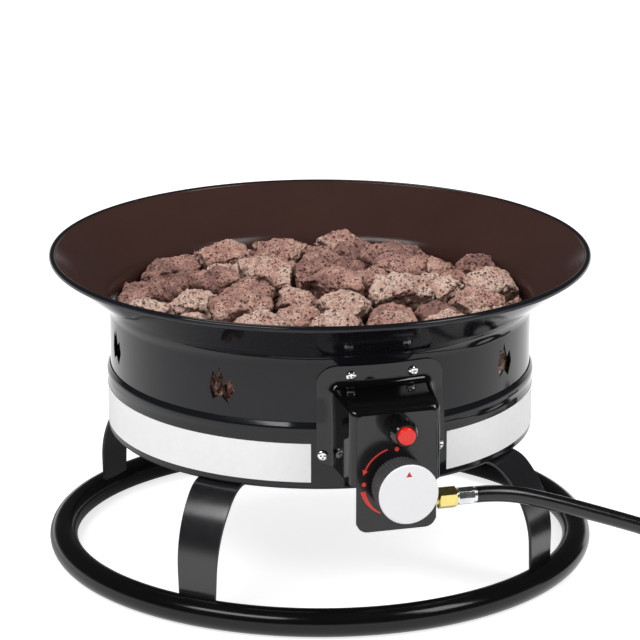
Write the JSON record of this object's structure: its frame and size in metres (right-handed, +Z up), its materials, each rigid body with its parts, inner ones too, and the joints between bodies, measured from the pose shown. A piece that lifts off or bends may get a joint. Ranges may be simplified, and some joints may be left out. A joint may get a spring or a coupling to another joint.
{
  "type": "gas fire pit",
  "caption": "Round tabletop-height gas fire pit: flared black steel bowl of lava rock on a legged ring, with a knob, spark igniter, hose, regulator and tank nut.",
  "frame": {"origin": "on the floor under the bowl's axis", "axes": "+Z up the bowl's axis, the controls face -Y, the hose leaves towards +X"},
  "size_m": [0.782, 0.5126, 0.2784],
  "materials": {
    "bowl_enamel": "gloss enamel",
    "black_coat": "satin powder coat",
    "housing_enamel": "high gloss enamel",
    "bright_screws": "bright plated",
    "zinc_steel": "zinc plated",
    "valve_casting": "as cast",
    "brass": "machined",
    "spring_steel": "drawn wire",
    "crimp_steel": "bright",
    "hose_rubber": "smooth satin",
    "tie_plastic": "matte",
    "regulator_paint": "satin",
    "nut_plastic": "matte",
    "burner_steel": "heat dulled",
    "igniter_plastic": "satin",
    "red_plastic": "gloss",
    "wire_rubber": "satin",
    "white_ceramic": "glazed",
    "knob_plastic": "satin",
    "knob_face": "silver satin",
    "lava_rock": "rough porous"
  },
  "bodies": {
    "root": {"fire_bowl": "bowl_enamel", "base_pan": "black_coat", "base_ring": "black_coat", "leg_front_left": "black_coat", "leg_front_right": "black_coat", "leg_rear_left": "black_coat", "leg_rear_right": "black_coat", "leg_bolts": "zinc_steel", "leg_nuts": "zinc_steel", "control_housing": "housing_enamel", "housing_screws": "bright_screws", "gas_valve_body": "valve_casting", "valve_mount_nut": "zinc_steel", "valve_end_cap": "valve_casting", "orifice_jet": "brass", "inlet_elbow": "brass", "hose_nut": "brass", "hose_ferrule": "crimp_steel", "gas_hose": "hose_rubber", "gas_hose_coil": "hose_rubber", "hose_tie": "tie_plastic", "regulator_ferrule": "crimp_steel", "regulator_body": "regulator_paint", "regulator_cover": "regulator_paint", "inlet_nipple": "brass", "burner_ring": "burner_steel", "venturi_tube": "burner_steel", "burner_brackets": "burner_steel", "burner_screws": "zinc_steel", "igniter_body": "igniter_plastic", "igniter_collar": "igniter_plastic", "igniter_spring": "spring_steel", "ignition_wire": "wire_rubber", "electrode_insulator": "white_ceramic", "electrode_rod": "crimp_steel", "lava_rocks_middle": "lava_rock", "lava_rocks_upper": "lava_rock", "lava_rocks_lower": "lava_rock"},
    "valve_plug": {"valve_plug": "brass", "valve_spring": "spring_steel"},
    "control_knob": {"knob_body": "knob_plastic", "knob_cap": "knob_face", "valve_stem": "brass"},
    "igniter_button": {"igniter_button": "red_plastic"},
    "tank_nut": {"tank_nut": "nut_plastic"}
  },
  "joints": [
    {"name": "knob_turn", "type": "hinge", "parent": "root", "child": "valve_plug", "pos_m": [0, -0.22, 0.136], "axis": [0, -1, 0], "range_deg": [0, 180]},
    {"name": "knob_push", "type": "slide", "parent": "valve_plug", "child": "control_knob", "axis": [0, 1, 0], "range_m": [0, 0.004], "stiffness_N_per_m": 900, "springref_m": -0.004, "deforming": ["valve_spring"]},
    {"name": "igniter_press", "type": "slide", "parent": "root", "child": "igniter_button", "axis": [0, 1, 0], "range_m": [0, 0.006], "stiffness_N_per_m": 700, "springref_m": -0.004, "deforming": ["igniter_spring"]},
    {"name": "tank_nut_spin", "type": "hinge", "parent": "root", "child": "tank_nut", "pos_m": [0.50343, 0.045, 0.02395], "axis": [0, 1, 0], "continuous": true}
  ]
}
